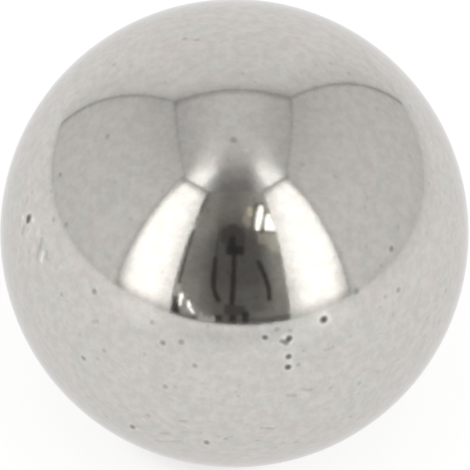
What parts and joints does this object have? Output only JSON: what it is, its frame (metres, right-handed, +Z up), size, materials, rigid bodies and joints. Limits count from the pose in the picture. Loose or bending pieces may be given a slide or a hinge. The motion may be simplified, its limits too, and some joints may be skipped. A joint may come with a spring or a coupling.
{
  "type": "steel ball",
  "caption": "Loose solid steel ball with a polished, mirror-like skin that is lightly pitted and scuffed.",
  "frame": {"origin": "centre of the ball", "axes": "+Z up; the ball is the same about every axis"},
  "size_m": [0.02, 0.02, 0.02],
  "materials": {
    "polished_steel": "bare steel, ground and lapped to a mirror, with fine pits and a few short scuffs"
  },
  "bodies": {
    "root": {"steel_ball": "polished_steel"}
  },
  "joints": []
}
